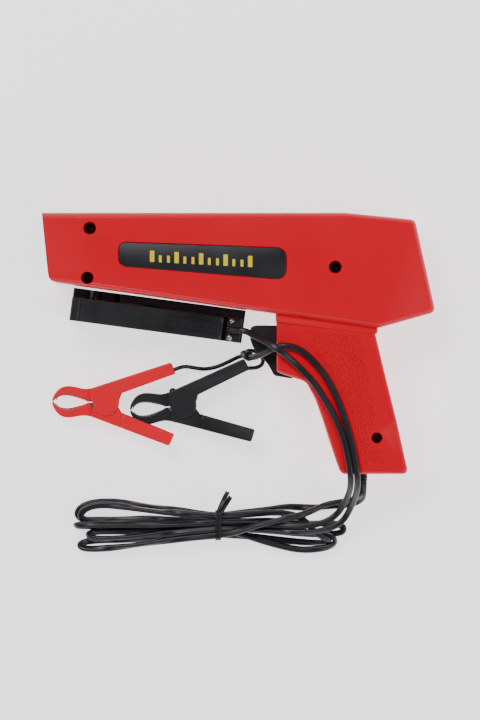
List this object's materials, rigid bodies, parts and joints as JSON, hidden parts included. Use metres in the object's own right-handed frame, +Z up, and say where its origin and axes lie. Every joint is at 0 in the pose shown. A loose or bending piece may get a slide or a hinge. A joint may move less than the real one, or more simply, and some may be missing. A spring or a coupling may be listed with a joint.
{
  "type": "timing light",
  "caption": "Pistol-grip xenon engine timing light with a trigger, battery clips, a squeeze-open inductive pickup and its leads tied in a hank.",
  "frame": {"origin": "bottom centre of the gun's own box, without its leads and what is on them; the gun lies on its right side", "axes": "muzzle towards -X, top of the barrel towards +Y, grip towards -Y, left side of the gun up along +Z"},
  "size_m": [0.2241, 0.1944, 0.0457],
  "materials": {
    "housing": "glossy moulded red plastic",
    "label": "black printed plate",
    "bezel": "black moulded plastic",
    "lens": "clear moulded lens",
    "reflector": "vacuum metallised",
    "tube_glass": "clear glass tube",
    "black_plastic": "moulded",
    "board": "solder mask",
    "tape": "wound tape",
    "capacitor": "sleeved can",
    "copper": "enamelled winding",
    "trigger": "satin black plastic",
    "plunger": "moulded",
    "steel": "drawn",
    "screw": "zinc plated, seen deep in its hole",
    "spring_steel": "drawn wire",
    "relief_rubber": "soft black",
    "pickup_plastic": "satin black plastic",
    "ferrite": "ground ferrite",
    "rivet": "bright heads",
    "cable": "black PVC sheath, slight sheen",
    "tie": "plastic coated wire",
    "red_vinyl": "red moulded insulator, satin",
    "black_vinyl": "black moulded insulator, satin",
    "jaw_steel": "nickel plated sheet"
  },
  "bodies": {
    "gun": {"black_clip_pin": "steel", "black_clip_spring": "spring_steel", "black_clip_upper_cover": "black_vinyl", "black_clip_upper_jaw": "jaw_steel", "black_clip_wire": "cable", "circuit_board": "board", "flash_tube": "tube_glass", "housing_left": "housing", "housing_right": "housing", "housing_screw_1": "screw", "housing_screw_2": "screw", "housing_screw_3": "screw", "housing_screw_4": "screw", "inverter_transformer": "tape", "label_plate": "label", "lamp_holder": "black_plastic", "lead_hank": "cable", "lead_splitter": "relief_rubber", "lens": "lens", "lens_bezel": "bezel", "pickup_body": "pickup_plastic", "pickup_boot": "relief_rubber", "pickup_coil": "copper", "pickup_core_lower": "ferrite", "pickup_lead": "cable", "pickup_lead_outlet": "cable", "pickup_pin": "steel", "pickup_rivet_1": "rivet", "pickup_rivet_2": "rivet", "pickup_spring": "spring_steel", "power_lead": "cable", "power_lead_outlet": "cable", "red_clip_lower_cover": "red_vinyl", "red_clip_lower_jaw": "jaw_steel", "red_clip_pin": "steel", "red_clip_spring": "spring_steel", "red_clip_wire": "cable", "reflector": "reflector", "spring_seat": "black_plastic", "storage_capacitor": "capacitor", "strain_relief": "relief_rubber", "switch_body": "black_plastic", "trigger_coil": "copper", "trigger_pin": "steel", "trigger_spring": "spring_steel", "twist_tie": "tie"},
    "trigger": {"trigger": "trigger"},
    "switch_plunger": {"switch_plunger": "plunger"},
    "red_clip_lever": {"red_clip_upper_cover": "red_vinyl", "red_clip_upper_jaw": "jaw_steel"},
    "black_clip_lever": {"black_clip_lower_cover": "black_vinyl", "black_clip_lower_jaw": "jaw_steel"},
    "pickup_lever": {"pickup_lever": "pickup_plastic", "pickup_core_upper": "ferrite"}
  },
  "joints": [
    {"name": "trigger_pull", "type": "hinge", "parent": "gun", "child": "trigger", "pos_m": [0.0295, -0.0145, 0.022], "axis": [0, 0, -1], "range_deg": [0, 8], "stiffness_Nm_per_rad": 0.4, "springref_deg": -5.73, "deforming": ["trigger_spring"]},
    {"name": "plunger_slide", "type": "slide", "parent": "gun", "child": "switch_plunger", "axis": [1, 0, 0], "range_m": [0, 0.0031]},
    {"name": "red_clip_open", "type": "hinge", "parent": "gun", "child": "red_clip_lever", "pos_m": [-0.07641, -0.03411, 0.0072], "axis": [0, 0, -1], "range_deg": [0, 9.5], "stiffness_Nm_per_rad": 1.5, "springref_deg": -20.05, "deforming": ["red_clip_spring"]},
    {"name": "black_clip_open", "type": "hinge", "parent": "gun", "child": "black_clip_lever", "pos_m": [-0.03141, -0.03584, 0.0072], "axis": [0, 0, 1], "range_deg": [0, 10], "stiffness_Nm_per_rad": 1.5, "springref_deg": -20.05, "deforming": ["black_clip_spring"]},
    {"name": "pickup_squeeze", "type": "hinge", "parent": "gun", "child": "pickup_lever", "pos_m": [-0.05071, 0.01645, 0.016], "axis": [0.1326, 0.9912, 0], "range_deg": [0, 12], "stiffness_Nm_per_rad": 0.8, "springref_deg": -17.19, "deforming": ["pickup_spring"]}
  ],
  "couplings": [
    {"joint": "plunger_slide", "follows": "trigger_pull", "m_per_rad": 0.0215}
  ]
}
